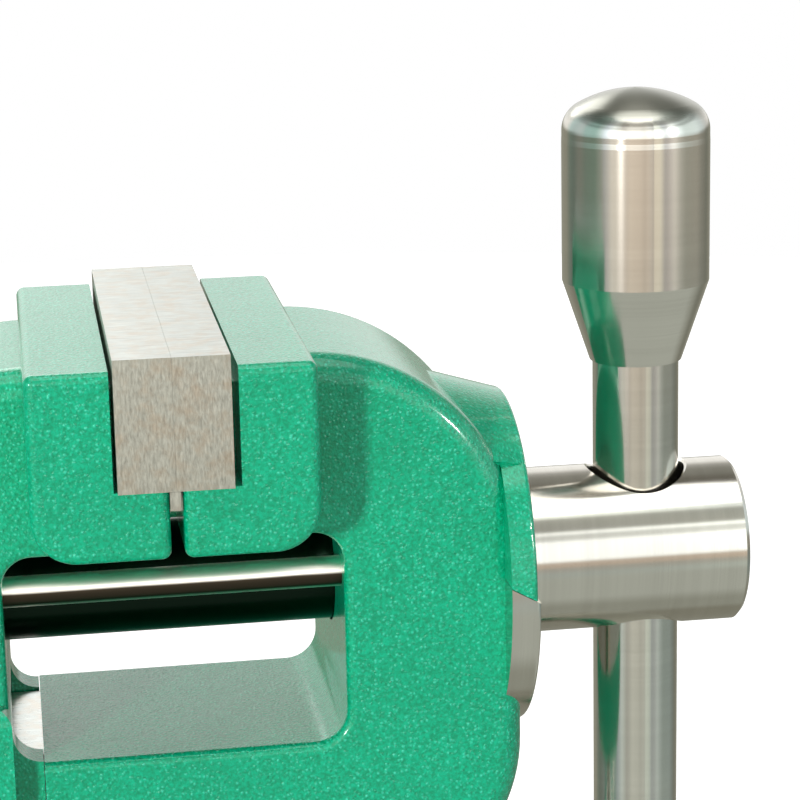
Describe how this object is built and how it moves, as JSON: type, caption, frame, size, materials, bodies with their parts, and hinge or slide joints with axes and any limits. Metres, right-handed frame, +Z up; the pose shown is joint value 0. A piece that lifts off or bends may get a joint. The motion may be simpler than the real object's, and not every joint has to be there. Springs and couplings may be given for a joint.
{
  "type": "ball vise",
  "caption": "Small bench vise with steel-faced jaws, a guided sliding jaw, a T-bar screw and a lever-locked ball foot that tilts and swivels.",
  "frame": {"origin": "centre of the foot's underside, on the ball's upright axis", "axes": "+Z up, +X along the spindle from the fixed jaw towards the spindle's head, +Y to the vise's back"},
  "size_m": [0.2236, 0.13, 0.2117],
  "materials": {
    "hammered_green": "hammered enamel, gloss",
    "ground_steel": "ground, fine vertical grain",
    "turned_steel": "fine turned, bright",
    "black_steel": "black oxide, satin",
    "screw_steel": "black oxide, satin",
    "spring_steel": "plain",
    "bronze": "machined"
  },
  "bodies": {
    "foot": {"base": "hammered_green", "disc_spring": "spring_steel", "seat_key": "spring_steel"},
    "cup": {"pressure_cup": "bronze"},
    "fixed_side": {"ball_stem": "turned_steel", "flange_screws": "screw_steel", "fixed_jaw": "hammered_green", "fixed_jaw_plate": "ground_steel", "fixed_plate_screws": "screw_steel", "plate_key": "ground_steel", "spindle_nut": "bronze", "nut_screw": "screw_steel", "slide_gib": "bronze", "gib_screws": "screw_steel", "rear_cover": "hammered_green", "cover_screws": "screw_steel"},
    "moving_side": {"moving_jaw": "hammered_green", "moving_jaw_plate": "ground_steel", "moving_plate_screws": "screw_steel", "slide_bar": "ground_steel", "slide_bar_screws": "screw_steel", "guide_rod_front": "turned_steel", "guide_rod_rear": "turned_steel", "arm_bush": "bronze", "retaining_plate": "turned_steel", "retaining_screws": "screw_steel"},
    "spindle_side": {"spindle": "black_steel", "spindle_head": "turned_steel", "head_pin": "turned_steel", "stop_washer": "turned_steel", "stop_screw": "screw_steel", "brake_ball": "spring_steel", "brake_spring": "spring_steel", "brake_screw": "screw_steel"},
    "handle": {"handle_bar": "turned_steel", "upper_knob": "turned_steel", "lower_knob": "turned_steel"},
    "seat": {"seat_ring": "bronze"},
    "ring": {"clamp_ring": "hammered_green", "clamp_lever": "turned_steel", "lever_knob": "turned_steel"}
  },
  "joints": [
    {"name": "ball_swivel", "type": "hinge", "parent": "foot", "child": "cup", "pos_m": [0, 0, 0.044], "axis": [0, 0, 1], "continuous": true},
    {"name": "ball_tilt", "type": "hinge", "parent": "cup", "child": "fixed_side", "pos_m": [0, 0, 0.044], "axis": [1, 0, 0], "range_deg": [-35, 35]},
    {"name": "jaw_slide", "type": "slide", "parent": "fixed_side", "child": "moving_side", "axis": [1, 0, 0], "range_m": [0, 0.042]},
    {"name": "spindle_turn", "type": "hinge", "parent": "moving_side", "child": "spindle_side", "pos_m": [0.042, 0, 0.146], "axis": [1, 0, 0], "range_deg": [0, 5041]},
    {"name": "handle_slide", "type": "slide", "parent": "spindle_side", "child": "handle", "axis": [0, 0, 1], "range_m": [-0.014, 0.038]},
    {"name": "seat_lift", "type": "slide", "parent": "foot", "child": "seat", "axis": [0, 0, 1], "range_m": [0, 0.0004]},
    {"name": "clamp_turn", "type": "hinge", "parent": "seat", "child": "ring", "pos_m": [0, 0, 0.037], "axis": [0, 0, 1], "range_deg": [0, 70]}
  ],
  "couplings": [
    {"joint": "spindle_turn", "follows": "jaw_slide", "rad_per_m": 2094.4},
    {"joint": "seat_lift", "follows": "clamp_turn", "m_per_rad": 0.00031831}
  ]
}
